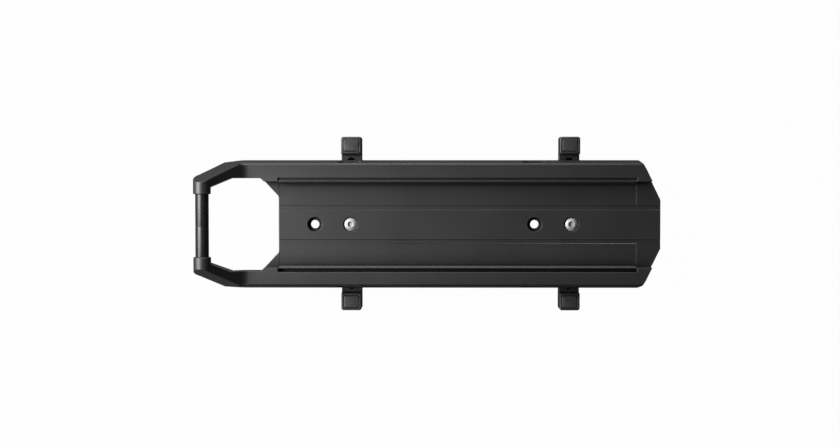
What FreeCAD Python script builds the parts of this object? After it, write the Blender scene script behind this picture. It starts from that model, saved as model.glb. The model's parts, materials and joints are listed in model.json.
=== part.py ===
"""Bike rack adapter: a moulded track deck that two pairs of hook jaws clamp onto a tubular bicycle rack.

Millimetres, +Z up, +X towards the open tail of the track, +Y to the right-hand side seen from above.
The origin lies under the middle of the assembly, on the plane of the jaws' undersides.
"""
import math
import os

import FreeCAD
import Part

V = FreeCAD.Vector

# Clamp jaws: a lower and an upper arm lie one over the other under the deck
JAW_WIDTH = 16.3
LOWER_ARM_THICK = 7.0
UPPER_ARM_THICK = 4.5
ARM_GAP = 0.2
ARM_INNER_REACH = 19.0
HOOK_INNER_Y = 55.8
HOOK_DEPTH = 13.9
HOOK_HEIGHT = 8.0
HOOK_FOOT_LENGTH = 12.0
HOOK_ROOT_RADIUS = 1.2
HOOK_CORNER_RADIUS = 2.0
HOOK_EDGE_CHAMFER = 0.6
SLOT_WIDTH = 6.8
SLOT_END_WALL = 4.0
SLOT_OUTER_Y = 53.1
SLOT_DROP = 1.0

# Rubber pad let into the top of each hook
PAD_LENGTH_X = 12.4
PAD_LENGTH_Y = 9.5
PAD_POCKET_DEPTH = 2.4
PAD_PROUD = 0.4
PAD_GAP = 0.3
PAD_CORNER_RADIUS = 1.2
PAD_EDGE_CHAMFER = 0.3
PAD_INSET_Y = 2.0

# Clamp screws and their square nuts
SCREW_DIAMETER = 6.0
SCREW_LENGTH = 30.0
SCREW_HEAD_DIAMETER = 10.5
SCREW_HEAD_HEIGHT = 3.3
SCREW_HEAD_FLAT = 5.4
SCREW_HEAD_RIM = 0.5
SCREW_HEAD_BULGE = 0.45
SCREW_SOCKET_FLATS = 4.0
SCREW_SOCKET_DEPTH = 2.2
SCREW_TIP_CHAMFER = 0.7
SCREW_SEAT_GAP = 0.05
NUT_WIDTH = 10.0
NUT_THICK = 3.2
NUT_SIDE_GAP = 0.15
NUT_TOP_GAP = 0.1
NUT_BOTTOM_GAP = 0.3
NUT_THREAD_GAP = 0.05

# Clamp positions along the deck: one outer and one inner hole at each end
HOLE_PAIR_PITCH = 174.5
FRONT_HOLE_STEP = 28.3
REAR_HOLE_STEP = 29.1
FRONT_OUTER_HOLE_X = -90.8
HOLE_DIAMETER = 6.6
COUNTERBORE_DIAMETER = 11.4

# Rubber grip strips under the deck
TUBE_GAP = 14.0
STRIP_WIDTH = 18.0
STRIP_END_MARGIN = 4.0
STRIP_THICK = 2.0
STRIP_PROUD = 0.8
STRIP_SIDE_GAP = 0.3
STRIP_HOLE_DIAMETER = 8.0
SEAT_MARGIN = 2.0

# Deck shell
TAIL_X = 183.45
DECK_HALF_WIDTH = 51.0
UNDERSIDE_DEPTH = 3.5
FLOOR_THICK = 3.5
TRACK_DEPTH = 8.0
TRACK_HALF_WIDTH = 34.0
SIDE_DRAFT = 2.0
BEVEL_WIDTH = 1.6
TAIL_CHAMFER_X = 15.5
TAIL_CHAMFER_Y = 31.7
TAIL_CORNER_RADIUS = 4.0

# Track floor and the lips that hold a bag's runner down
FLOOR_FRONT_X = -119.5
LIP_END_X = 164.2
LIP_OVERHANG = 1.5
LIP_CLEAR_HEIGHT = 4.5
LIP_DROP = 0.4
LIP_ROOT = 1.1
LIP_SLOPE = 1.3
LIP_END_CHAMFER = 1.4
RELIEF_WIDTH = 1.8
RELIEF_DEPTH = 5.0
FLOOR_GROOVE_Y = 13.5
FLOOR_GROOVE_WIDTH = 3.3
FLOOR_GROOVE_DEPTH = 0.6
FLOOR_BAND_DEPTH = 0.35

# Front window and the arms that rise to the bar
ARM_WIDTH = 14.3
WINDOW_CHAMFER_X = 13.5
WINDOW_CHAMFER_Y = 14.5
WINDOW_CORNER_RADIUS = 3.0
WINDOW_BEND_REACH = 9.7
ARM_RISE_DEG = 43.7
ARM_THICK = 13.2
ARM_INNER_TURN_DEG = 24.5
ARM_BEND_RADIUS = 8.0
ARM_UNDER_RADIUS = 12.0
ARM_CORNER_RISE = 2.6
ARM_OUTER_LEAN = 0.456
ARM_OUTER_TURN = 0.104

# Front bar and its sockets
BAR_X = -176.55
BAR_RISE = 20.0
BAR_DIAMETER = 10.5
SOCKET_END_WALL = 5.8
BAR_SOCKET_DEPTH = 7.0
BAR_FIT = 0.03
BAR_END_CHAMFER = 0.6
SOCKET_DIAMETER = 13.8
SOCKET_EDGE_CHAMFER = 0.5

# Underside ribs and coring
RIB_THICK = 2.0
RIB_PITCH = 26.0
SKIRT_THICK = 3.8
RAIL_SKIN = 3.2
RAIL_INNER_WALL = 4.4
CORE_FRONT_MARGIN = 8.0
CORE_TAIL_MARGIN = 16.0
SPINE_RIB_Y = 14.0

# Oval recesses in the deck's sides beside the inner clamp holes
RECESS_LENGTH = 20.0
RECESS_HEIGHT = 8.6
RECESS_DEPTH = 3.0

# Heights that follow from the sizes above
UPPER_ARM_Z = LOWER_ARM_THICK + ARM_GAP
ARM_TOP_Z = UPPER_ARM_Z + UPPER_ARM_THICK
HOOK_TOP_Z = ARM_TOP_Z + HOOK_HEIGHT
STRIP_Z = ARM_TOP_Z + TUBE_GAP
STRIP_SEAT_Z = STRIP_Z + STRIP_THICK
DECK_Z = STRIP_Z + STRIP_PROUD
FLOOR_UNDER_Z = DECK_Z + UNDERSIDE_DEPTH
FLOOR_Z = FLOOR_UNDER_Z + FLOOR_THICK
RAIL_Z = FLOOR_Z + TRACK_DEPTH
SCREW_SEAT_Z = FLOOR_Z - SCREW_HEAD_HEIGHT
BAR_Z = RAIL_Z + BAR_RISE
TOP_Z = BAR_Z + SOCKET_DIAMETER
NUT_CHANNEL_Z = NUT_BOTTOM_GAP + NUT_THICK + NUT_TOP_GAP
SLOT_FLOOR_Z = LOWER_ARM_THICK - SLOT_DROP
ARM_CORNER_Z = RAIL_Z + ARM_CORNER_RISE

# Places that follow from the sizes above
ARM_RISE = math.radians(ARM_RISE_DEG)
ARM_BEND_X = BAR_X + (ARM_THICK / 2 + BAR_RISE * math.cos(ARM_RISE)) / math.sin(ARM_RISE)
WINDOW_BEND_X = ARM_BEND_X - WINDOW_BEND_REACH
CORE_FRONT_X = ARM_BEND_X + CORE_FRONT_MARGIN
RAIL_TOP_Y = DECK_HALF_WIDTH - SIDE_DRAFT - BEVEL_WIDTH
WINDOW_HALF_WIDTH = DECK_HALF_WIDTH - ARM_WIDTH
STRIP_HALF_LENGTH = DECK_HALF_WIDTH - STRIP_END_MARGIN
HOOK_OUTER_Y = HOOK_INNER_Y + HOOK_DEPTH
LIP_INNER_Y = TRACK_HALF_WIDTH - LIP_OVERHANG
RELIEF_Y = TRACK_HALF_WIDTH + LIP_ROOT
FRONT_INNER_HOLE_X = FRONT_OUTER_HOLE_X + FRONT_HOLE_STEP
REAR_INNER_HOLE_X = FRONT_OUTER_HOLE_X + HOLE_PAIR_PITCH
REAR_OUTER_HOLE_X = REAR_INNER_HOLE_X + REAR_HOLE_STEP
HOLES_X = {
    "front_outer": FRONT_OUTER_HOLE_X,
    "front_inner": FRONT_INNER_HOLE_X,
    "rear_inner": REAR_INNER_HOLE_X,
    "rear_outer": REAR_OUTER_HOLE_X,
}
CLAMPS_X = {"front": FRONT_INNER_HOLE_X, "rear": REAR_OUTER_HOLE_X}
SIDES = {"right": 1, "left": -1}

# Cutting tools reach this far past the faces they cut
OVER = 5.0

# Places closer than this are one place
NEAR = 1e-6


def box(x_range, y_range, z_range):
    """A box between two values on each axis."""
    size = [high - low for low, high in (x_range, y_range, z_range)]
    return Part.makeBox(*size, V(x_range[0], y_range[0], z_range[0]))


def prism(points, direction):
    """A prism on the closed outline through the points."""
    outline = Part.makePolygon(points + points[:1])
    return Part.Face(outline).extrude(direction)


def upright(x, y, z_range, diameter):
    """A vertical cylinder."""
    return Part.makeCylinder(diameter / 2, z_range[1] - z_range[0], V(x, y, z_range[0]))


def across(x, z, y_range, diameter):
    """A cylinder along Y."""
    return Part.makeCylinder(diameter / 2, y_range[1] - y_range[0], V(x, y_range[0], z), V(0, 1, 0))


def mirrored(shape):
    """The shape's mirror image in the plane Y = 0."""
    return shape.mirror(V(0, 0, 0), V(0, 1, 0))


def both_sides(shape):
    """The shape and its mirror image."""
    return [shape, mirrored(shape)]


def fillet_where(shape, radius, chosen):
    """Rounds the edges for which chosen(edge) is true."""
    return shape.makeFillet(radius, [edge for edge in shape.Edges if chosen(edge)])


def along(edge, axis):
    """True where a straight edge runs along the given unit vector."""
    if not isinstance(edge.Curve, Part.Line):
        return False
    return abs(abs(edge.Curve.Direction.dot(axis)) - 1) < NEAR


def rounded_plate(centre, size, z_range, radius):
    """A plate with rounded corners."""
    x, y = centre
    half_x, half_y = size[0] / 2, size[1] / 2
    plate = box((x - half_x, x + half_x), (y - half_y, y + half_y), z_range)
    return fillet_where(plate, radius, lambda edge: along(edge, V(0, 0, 1)))


def slot_cutter(x, y_range, z_range):
    """An upright cutter for a jaw's slot along Y, with round ends."""
    radius = SLOT_WIDTH / 2
    ends = (y_range[0] + radius, y_range[1] - radius)
    body = box((x - radius, x + radius), ends, z_range)
    return body.fuse([upright(x, y, z_range, SLOT_WIDTH) for y in ends])


def side_y(z):
    """Where the drafted right-hand side lies at a height."""
    return DECK_HALF_WIDTH - SIDE_DRAFT * (z - DECK_Z) / (RAIL_Z - BEVEL_WIDTH - DECK_Z)


def arm_outer_y(x, z):
    """Where the leaning upper part of the right arm's outer side lies at a place seen from the side."""
    inward = ARM_OUTER_TURN * (x - ARM_BEND_X)
    return side_y(ARM_CORNER_Z) + inward - ARM_OUTER_LEAN * (z - ARM_CORNER_Z)


def bevel_end_x():
    """Where the rail's bevel ends: the arm's leaning side starts there at the same width."""
    excess = arm_outer_y(ARM_BEND_X, RAIL_Z) - RAIL_TOP_Y
    return ARM_BEND_X - excess / (ARM_OUTER_TURN + ARM_OUTER_LEAN * math.tan(ARM_RISE))


def bar_half_length():
    """Half the length of the bar, which ends inside the arms."""
    return arm_outer_y(BAR_X, BAR_Z) - SOCKET_END_WALL


def deck_block():
    """The deck's full block with both arms, before its sides and its track are cut."""
    slope = V(-math.cos(ARM_RISE), 0, math.sin(ARM_RISE))
    half_thick = V(math.sin(ARM_RISE), 0, math.cos(ARM_RISE)) * (ARM_THICK / 2)
    bar = V(BAR_X, -DECK_HALF_WIDTH, BAR_Z)
    top_end = bar + half_thick
    under_end = bar - half_thick
    top_bend = V(ARM_BEND_X, -DECK_HALF_WIDTH, RAIL_Z)
    under_bend = under_end - slope * ((under_end.z - DECK_Z) / slope.z)
    side = [
        V(TAIL_X, -DECK_HALF_WIDTH, DECK_Z),
        V(TAIL_X, -DECK_HALF_WIDTH, RAIL_Z),
        top_bend,
        top_end,
        under_end,
        under_bend,
    ]
    body = prism(side, V(0, 2 * DECK_HALF_WIDTH, 0))
    body = fillet_where(body, ARM_BEND_RADIUS, lambda edge: is_cross_edge(edge, top_bend))
    body = fillet_where(body, ARM_UNDER_RADIUS, lambda edge: is_cross_edge(edge, under_bend))
    socket = across(BAR_X, BAR_Z, (-DECK_HALF_WIDTH, DECK_HALF_WIDTH), SOCKET_DIAMETER)
    return body.fuse(socket).removeSplitter()


def is_cross_edge(edge, point):
    """True where an edge runs along Y through the point seen from the side."""
    middle = edge.CenterOfMass
    return along(edge, V(0, 1, 0)) and math.hypot(middle.x - point.x, middle.z - point.z) < NEAR


def whole_section(x, right):
    """The closed section at x whose right-hand outline is given from below to above."""
    points = [V(x, y, z) for y, z in right]
    points += [V(x, -y, z) for y, z in reversed(right)]
    return Part.makePolygon(points + points[:1])


def rail_section(x):
    """The section of the rails: drafted sides with a bevel along the top edge."""
    right = [
        (DECK_HALF_WIDTH, DECK_Z),
        (RAIL_TOP_Y + BEVEL_WIDTH, RAIL_Z - BEVEL_WIDTH),
        (RAIL_TOP_Y, RAIL_Z),
        (RAIL_TOP_Y, TOP_Z + OVER),
    ]
    return whole_section(x, right)


def arm_section(x):
    """The section of the arms: drafted sides that lean further inward above a corner."""
    draft = SIDE_DRAFT / (RAIL_Z - BEVEL_WIDTH - DECK_Z)
    corner_z = ARM_CORNER_Z + ARM_OUTER_TURN * (x - ARM_BEND_X) / (ARM_OUTER_LEAN - draft)
    high = TOP_Z + OVER
    right = [(DECK_HALF_WIDTH, DECK_Z), (side_y(corner_z), corner_z), (arm_outer_y(x, high), high)]
    return whole_section(x, right)


def outer_form():
    """The room that the deck's sides leave along the rails and the arms."""
    end = bevel_end_x()
    front = BAR_X - SOCKET_DIAMETER
    rails = Part.makeLoft([rail_section(end), rail_section(TAIL_X + OVER)], True, True)
    arms = Part.makeLoft([arm_section(front), arm_section(end)], True, True)
    return rails.fuse(arms)


def window_cutter():
    """The front window: square sides, chamfered rear corners and arms that turn in to the sockets."""
    turn = math.tan(math.radians(ARM_INNER_TURN_DEG))
    socket_x = BAR_X + SOCKET_DIAMETER / 4
    inner_y = WINDOW_HALF_WIDTH - turn * (WINDOW_BEND_X - socket_x)
    half = [
        (FLOOR_FRONT_X, WINDOW_HALF_WIDTH - WINDOW_CHAMFER_Y),
        (FLOOR_FRONT_X - WINDOW_CHAMFER_X, WINDOW_HALF_WIDTH),
        (WINDOW_BEND_X, WINDOW_HALF_WIDTH),
        (socket_x, inner_y),
        (BAR_X - SOCKET_DIAMETER, inner_y),
    ]
    outline = half + [(x, -y) for x, y in reversed(half)]
    low = DECK_Z - OVER
    cutter = prism([V(x, y, low) for x, y in outline], V(0, 0, TOP_Z + OVER - low))
    return fillet_where(cutter, WINDOW_CORNER_RADIUS, is_window_corner)


def is_window_corner(edge):
    """True for the upright edges at the window's chamfered rear corners."""
    return along(edge, V(0, 0, 1)) and edge.CenterOfMass.x > WINDOW_BEND_X + OVER


def tail_cutter():
    """The corner that is cut off the right-hand side of the tail."""
    points = [
        V(TAIL_X - TAIL_CHAMFER_X, DECK_HALF_WIDTH, DECK_Z - OVER),
        V(TAIL_X, DECK_HALF_WIDTH - TAIL_CHAMFER_Y, DECK_Z - OVER),
        V(TAIL_X + OVER, DECK_HALF_WIDTH - TAIL_CHAMFER_Y, DECK_Z - OVER),
        V(TAIL_X + OVER, DECK_HALF_WIDTH + OVER, DECK_Z - OVER),
        V(TAIL_X - TAIL_CHAMFER_X, DECK_HALF_WIDTH + OVER, DECK_Z - OVER),
    ]
    return prism(points, V(0, 0, RAIL_Z - DECK_Z + 2 * OVER))


def track_cutters():
    """The bag track: channel, shallow floor grooves, lower floor bands and the reliefs behind the lips."""
    front = FLOOR_FRONT_X - WINDOW_CHAMFER_X
    tail = TAIL_X + OVER
    cutters = [box((front, tail), (-TRACK_HALF_WIDTH, TRACK_HALF_WIDTH), (FLOOR_Z, RAIL_Z + OVER))]
    groove = (FLOOR_GROOVE_Y - FLOOR_GROOVE_WIDTH / 2, FLOOR_GROOVE_Y + FLOOR_GROOVE_WIDTH / 2)
    right = [
        box((front, tail), groove, (FLOOR_Z - FLOOR_GROOVE_DEPTH, RAIL_Z)),
        box((FLOOR_FRONT_X, LIP_END_X), (groove[1], TRACK_HALF_WIDTH), (FLOOR_Z - FLOOR_BAND_DEPTH, RAIL_Z)),
        box(
            (FLOOR_FRONT_X, LIP_END_X),
            (RELIEF_Y, RELIEF_Y + RELIEF_WIDTH),
            (RAIL_Z - RELIEF_DEPTH, RAIL_Z + OVER),
        ),
    ]
    for cutter in right:
        cutters += both_sides(cutter)
    return cutters


def lip():
    """The right-hand lip over the edge of the track, with chamfered ends and a sloping inner edge."""
    low, high = FLOOR_Z + LIP_CLEAR_HEIGHT, RAIL_Z - LIP_DROP
    points = [
        V(FLOOR_FRONT_X, TRACK_HALF_WIDTH + LIP_ROOT, low),
        V(FLOOR_FRONT_X, TRACK_HALF_WIDTH, low),
        V(FLOOR_FRONT_X + LIP_END_CHAMFER, LIP_INNER_Y, low),
        V(LIP_END_X - LIP_END_CHAMFER, LIP_INNER_Y, low),
        V(LIP_END_X, TRACK_HALF_WIDTH, low),
        V(LIP_END_X, TRACK_HALF_WIDTH + LIP_ROOT, low),
    ]
    slope = [
        V(FLOOR_FRONT_X, LIP_INNER_Y, high - LIP_SLOPE),
        V(FLOOR_FRONT_X, LIP_INNER_Y + LIP_SLOPE, high),
        V(FLOOR_FRONT_X, LIP_INNER_Y, high),
    ]
    return prism(points, V(0, 0, high - low)).cut(prism(slope, V(LIP_END_X - FLOOR_FRONT_X, 0, 0)))


def lip_drop_cutter():
    """Lowers the root of the right-hand lip to the height of the lip itself."""
    return box(
        (FLOOR_FRONT_X, LIP_END_X),
        (TRACK_HALF_WIDTH, RELIEF_Y + RELIEF_WIDTH / 2),
        (RAIL_Z - LIP_DROP, RAIL_Z + OVER),
    )


def hole_cutters():
    """The four counterbored clamp holes and the seats of the grip strips under them."""
    cutters = []
    half_width = STRIP_WIDTH / 2 + STRIP_SIDE_GAP
    half_length = STRIP_HALF_LENGTH + STRIP_SIDE_GAP
    for x in HOLES_X.values():
        cutters.append(upright(x, 0, (DECK_Z - OVER, FLOOR_Z + OVER), HOLE_DIAMETER))
        cutters.append(upright(x, 0, (SCREW_SEAT_Z, FLOOR_Z + OVER), COUNTERBORE_DIAMETER))
        cutters.append(
            box(
                (x - half_width, x + half_width),
                (-half_length, half_length),
                (DECK_Z - OVER, STRIP_SEAT_Z),
            )
        )
    return cutters


def bays(start, end):
    """Splits a length into equal bays no longer than the rib pitch, with a rib between each two."""
    count = max(1, math.ceil((end - start) / RIB_PITCH))
    width = (end - start - (count - 1) * RIB_THICK) / count
    return [(start + i * (width + RIB_THICK), start + i * (width + RIB_THICK) + width) for i in range(count)]


def free_lengths(start, end):
    """The stretches between start and end that no grip strip seat takes up."""
    seat = STRIP_WIDTH / 2 + STRIP_SIDE_GAP + SEAT_MARGIN
    edges = [start]
    for x in sorted(HOLES_X.values()):
        edges += [x - seat, x + seat]
    edges.append(end)
    return [(low, high) for low, high in zip(edges[::2], edges[1::2]) if high - low > RIB_THICK]


def core_cutters():
    """Pockets in the underside that leave the floor, the rails and a grid of ribs at even walls."""
    cutters = []
    tail = TAIL_X - CORE_TAIL_MARGIN
    rail_y = (TRACK_HALF_WIDTH + RAIL_INNER_WALL, DECK_HALF_WIDTH - SKIRT_THICK)
    floor_edge = TRACK_HALF_WIDTH + RAIL_INNER_WALL - RIB_THICK
    floor_low, floor_high = DECK_Z - OVER, FLOOR_UNDER_Z
    for stretch in free_lengths(FLOOR_FRONT_X + RIB_THICK, tail):
        for bay in bays(*stretch):
            cutters.append(box(bay, (-SPINE_RIB_Y, SPINE_RIB_Y), (floor_low, floor_high)))
            outer = box(bay, (SPINE_RIB_Y + RIB_THICK, floor_edge), (floor_low, floor_high))
            cutters += both_sides(outer)
    for stretch in free_lengths(CORE_FRONT_X, tail):
        for bay in bays(*stretch):
            cutters += both_sides(box(bay, rail_y, (floor_low, RAIL_Z - RAIL_SKIN)))
    return cutters


def side_recess(x):
    """An oval recess in the right-hand side of the deck."""
    radius = RECESS_HEIGHT / 2
    z = RAIL_Z - BEVEL_WIDTH - radius
    y_range = (DECK_HALF_WIDTH - SIDE_DRAFT - RECESS_DEPTH, DECK_HALF_WIDTH + OVER)
    reach = RECESS_LENGTH / 2 - radius
    body = box((x - reach, x + reach), y_range, (z - radius, z + radius))
    return body.fuse([across(x + end, z, y_range, RECESS_HEIGHT) for end in (-reach, reach)])


def socket():
    """The right-hand socket of the front bar, inside the arm's end."""
    face_y = bar_half_length() - BAR_SOCKET_DEPTH
    shape = across(BAR_X, BAR_Z, (face_y, WINDOW_HALF_WIDTH), SOCKET_DIAMETER)
    rim = [edge for edge in shape.Edges if abs(edge.CenterOfMass.y - face_y) < NEAR]
    return shape.makeChamfer(SOCKET_EDGE_CHAMFER, rim)


def make_deck():
    """The moulded deck with its track, arms, sockets and ribbed underside."""
    body = deck_block().cut(window_cutter())
    body = body.fuse(both_sides(socket())).common(outer_form()).removeSplitter()
    body = body.cut(both_sides(tail_cutter()))
    body = fillet_where(body, TAIL_CORNER_RADIUS, is_tail_corner)
    body = body.cut(track_cutters() + both_sides(lip_drop_cutter()))
    body = body.fuse(both_sides(lip())).removeSplitter()
    cutters = hole_cutters() + core_cutters()
    for x in (FRONT_INNER_HOLE_X, REAR_INNER_HOLE_X):
        cutters += both_sides(side_recess(x))
    bore = BAR_DIAMETER + 2 * BAR_FIT
    reach = bar_half_length()
    cutters.append(across(BAR_X, BAR_Z, (-reach, reach), bore))
    return body.cut(cutters)


def is_tail_corner(edge):
    """True for the steep edges where the tail's chamfers meet the deck's sides."""
    middle = edge.CenterOfMass
    near = abs(middle.x - (TAIL_X - TAIL_CHAMFER_X)) < BEVEL_WIDTH and abs(middle.y) > TRACK_HALF_WIDTH
    return near and edge.BoundBox.ZLength > BEVEL_WIDTH / 2 and edge.BoundBox.XLength < BEVEL_WIDTH


def make_bar():
    """The round bar between the two sockets."""
    reach = bar_half_length()
    shape = across(BAR_X, BAR_Z, (-reach, reach), BAR_DIAMETER)
    ends = [edge for edge in shape.Edges if abs(abs(edge.CenterOfMass.y) - reach) < NEAR]
    return shape.makeChamfer(BAR_END_CHAMFER, ends)


def make_jaw(x, upper):
    """A hook jaw for the right-hand side; the upper one lies over the lower one at the screw."""
    low, high = (UPPER_ARM_Z, ARM_TOP_Z) if upper else (0.0, LOWER_ARM_THICK)
    foot_y = HOOK_INNER_Y - HOOK_FOOT_LENGTH
    profile = [
        (-ARM_INNER_REACH, low),
        (foot_y, low),
        (foot_y, 0.0),
        (HOOK_OUTER_Y, 0.0),
        (HOOK_OUTER_Y, HOOK_TOP_Z),
        (HOOK_INNER_Y, HOOK_TOP_Z),
        (HOOK_INNER_Y, ARM_TOP_Z),
        (foot_y, ARM_TOP_Z),
        (foot_y, high),
        (-ARM_INNER_REACH, high),
    ]
    start = x - JAW_WIDTH / 2
    outline = [V(start, y, z) for y, z in without_repeats(profile)]
    shape = prism(outline, V(JAW_WIDTH, 0, 0))
    root = V(x, HOOK_INNER_Y, ARM_TOP_Z)
    shape = fillet_where(shape, HOOK_ROOT_RADIUS, lambda edge: is_root_edge(edge, root))
    shape = fillet_where(shape, HOOK_CORNER_RADIUS, is_hook_corner)
    rim = [edge for edge in shape.Edges if is_hook_rim(edge)]
    shape = shape.makeChamfer(HOOK_EDGE_CHAMFER, rim)
    slot_start = SLOT_END_WALL - ARM_INNER_REACH
    cutters = [slot_cutter(x, (slot_start, SLOT_OUTER_Y), (SLOT_FLOOR_Z, HOOK_TOP_Z))]
    cutters.append(pad_plate(x, HOOK_TOP_Z - PAD_POCKET_DEPTH, HOOK_TOP_Z + OVER, PAD_GAP))
    if not upper:
        half = NUT_WIDTH / 2 + NUT_SIDE_GAP
        cutters.append(slot_cutter(x, (slot_start, foot_y - SLOT_WIDTH / 2), (-OVER, HOOK_TOP_Z)))
        cutters.append(box((x - half, x + half), (-ARM_INNER_REACH - OVER, foot_y), (-OVER, NUT_CHANNEL_Z)))
    return shape.cut(cutters)


def without_repeats(points):
    """The outline without points that lie where the one before them does."""
    kept = []
    for point in points:
        if not kept or kept[-1] != point:
            kept.append(point)
    return kept


def is_root_edge(edge, root):
    """True for the inner corner between a jaw's arm and its hook."""
    middle = edge.CenterOfMass
    return along(edge, V(1, 0, 0)) and abs(middle.y - root.y) < NEAR and abs(middle.z - root.z) < NEAR


def is_hook_corner(edge):
    """True for the two upright edges at the hook's outer end."""
    return along(edge, V(0, 0, 1)) and abs(edge.CenterOfMass.y - HOOK_OUTER_Y) < NEAR


def is_hook_rim(edge):
    """True for the edges round the hook's top face."""
    return abs(edge.BoundBox.ZMin - HOOK_TOP_Z) < NEAR and edge.BoundBox.ZLength < NEAR


def pad_plate(x, low, high, gap):
    """The pad's rounded outline over a range of heights, grown by a gap."""
    centre = (x, HOOK_OUTER_Y - PAD_INSET_Y - PAD_LENGTH_Y / 2)
    size = (PAD_LENGTH_X + 2 * gap, PAD_LENGTH_Y + 2 * gap)
    return rounded_plate(centre, size, (low, high), PAD_CORNER_RADIUS + gap)


def make_pad(x):
    """The rubber pad in the top of a right-hand hook."""
    pad = pad_plate(x, HOOK_TOP_Z - PAD_POCKET_DEPTH, HOOK_TOP_Z + PAD_PROUD, 0.0)
    top = [edge for edge in pad.Edges if abs(edge.BoundBox.ZMin - HOOK_TOP_Z - PAD_PROUD) < NEAR]
    return pad.makeChamfer(PAD_EDGE_CHAMFER, top)


def make_screw(x):
    """A button-head screw with a hexagon socket."""
    seat = SCREW_SEAT_Z + SCREW_SEAT_GAP
    top = seat + SCREW_HEAD_HEIGHT - SCREW_SEAT_GAP
    tip = seat - SCREW_LENGTH
    shank, head = SCREW_DIAMETER / 2, SCREW_HEAD_DIAMETER / 2
    flat = SCREW_HEAD_FLAT / 2
    shoulder = V(head, 0, seat + SCREW_HEAD_RIM)
    crown = V(flat, 0, top)
    middle = (shoulder + crown) * 0.5
    outward = V(crown.z - shoulder.z, 0, shoulder.x - crown.x).normalize()
    points = [
        crown,
        V(0, 0, top),
        V(0, 0, tip),
        V(shank - SCREW_TIP_CHAMFER, 0, tip),
        V(shank, 0, tip + SCREW_TIP_CHAMFER),
        V(shank, 0, seat),
        V(head, 0, seat),
        shoulder,
        middle + outward * SCREW_HEAD_BULGE,
        crown,
    ]
    shape = Part.Face(Part.makePolygon(points)).revolve(V(0, 0, 0), V(0, 0, 1), 360)
    corner = SCREW_SOCKET_FLATS / math.sqrt(3)
    hexagon = [
        V(corner * math.cos(turn), corner * math.sin(turn), top - SCREW_SOCKET_DEPTH)
        for turn in (math.radians(60 * i) for i in range(6))
    ]
    shape = shape.cut(prism(hexagon, V(0, 0, SCREW_SOCKET_DEPTH + OVER)))
    shape.translate(V(x, 0, 0))
    return shape


def make_nut(x):
    """The thin square nut in the lower jaw's channel."""
    half = NUT_WIDTH / 2
    z_range = (NUT_BOTTOM_GAP, NUT_BOTTOM_GAP + NUT_THICK)
    nut = box((x - half, x + half), (-half, half), z_range)
    return nut.cut(upright(x, 0, z_range, SCREW_DIAMETER + 2 * NUT_THREAD_GAP))


def make_strip(x):
    """A rubber grip strip across the deck's underside."""
    half = STRIP_WIDTH / 2
    z_range = (STRIP_Z, STRIP_SEAT_Z)
    strip = box((x - half, x + half), (-STRIP_HALF_LENGTH, STRIP_HALF_LENGTH), z_range)
    return strip.cut(upright(x, 0, z_range, STRIP_HOLE_DIAMETER))


def build_parts():
    """Every piece of the adapter by its node name."""
    parts = {"deck": make_deck(), "front_bar": make_bar()}
    for end, x in CLAMPS_X.items():
        for side, sign in SIDES.items():
            jaw = make_jaw(x, upper=sign > 0)
            pad = make_pad(x)
            parts[f"{end}_{side}_jaw"] = jaw if sign > 0 else mirrored(jaw)
            parts[f"{end}_{side}_jaw_pad"] = pad if sign > 0 else mirrored(pad)
        parts[f"{end}_clamp_screw"] = make_screw(x)
        parts[f"{end}_clamp_nut"] = make_nut(x)
    for place, x in HOLES_X.items():
        parts[f"{place}_grip_strip"] = make_strip(x)
    return parts


os.makedirs("parts", exist_ok=True)
for node, shape in build_parts().items():
    solid = shape.Solids[0]
    solid.exportStep(os.path.join("parts", f"{node}.step"))
    print(f"{node}: {len(shape.Solids)} solid, {solid.Volume:.0f} cubic mm, valid {solid.isValid()}")
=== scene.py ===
"""Looks of the bike rack adapter: rounded mouldings, threaded screws, rubber pads, finishes and studio.

Metres, in the frame of the solids: +X towards the open tail of the track, +Y to the right, +Z up.
"""
import json
import logging
import math
from abc import ABC, abstractmethod
from dataclasses import dataclass, field, replace
from enum import Enum
from typing import Any, Callable, Iterable, Optional, Union

import bmesh
import bpy
from mathutils import Matrix, Vector


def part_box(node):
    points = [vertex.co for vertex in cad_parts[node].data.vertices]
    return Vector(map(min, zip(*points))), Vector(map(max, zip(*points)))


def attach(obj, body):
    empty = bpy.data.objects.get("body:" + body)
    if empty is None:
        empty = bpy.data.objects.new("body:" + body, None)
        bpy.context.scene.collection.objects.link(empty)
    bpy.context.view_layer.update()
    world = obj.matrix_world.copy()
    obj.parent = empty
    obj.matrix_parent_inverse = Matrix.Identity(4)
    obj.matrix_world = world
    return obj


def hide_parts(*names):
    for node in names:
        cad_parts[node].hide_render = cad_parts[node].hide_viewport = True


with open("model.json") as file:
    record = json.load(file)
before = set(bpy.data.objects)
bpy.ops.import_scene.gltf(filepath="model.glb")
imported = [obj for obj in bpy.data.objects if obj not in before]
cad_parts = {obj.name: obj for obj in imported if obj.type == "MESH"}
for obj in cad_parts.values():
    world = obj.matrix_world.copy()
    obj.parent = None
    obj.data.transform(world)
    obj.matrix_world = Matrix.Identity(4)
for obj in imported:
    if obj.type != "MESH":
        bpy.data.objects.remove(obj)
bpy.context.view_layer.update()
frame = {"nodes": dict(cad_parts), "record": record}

LOG = logging.getLogger("rack_adapter")
MM = 0.001
MERGE = 0.001 * MM
FACING = 0.9
LEVEL = 0.99
BLACK = (0.0, 0.0, 0.0, 1.0)

Colour = tuple[float, float, float, float]
Piece = bpy.types.Object
Element = Union[bmesh.types.BMVert, bmesh.types.BMEdge, bmesh.types.BMFace]


class End(Enum):
    """Which clamp a piece belongs to."""

    FRONT = "front"
    REAR = "rear"


class Side(Enum):
    """Which side of the deck a jaw hooks round, seen from above."""

    RIGHT = "right"
    LEFT = "left"


class Hole(Enum):
    """The four clamp holes along the deck, each with a grip strip under it."""

    FRONT_OUTER = "front_outer"
    FRONT_INNER = "front_inner"
    REAR_INNER = "rear_inner"
    REAR_OUTER = "rear_outer"


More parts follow.
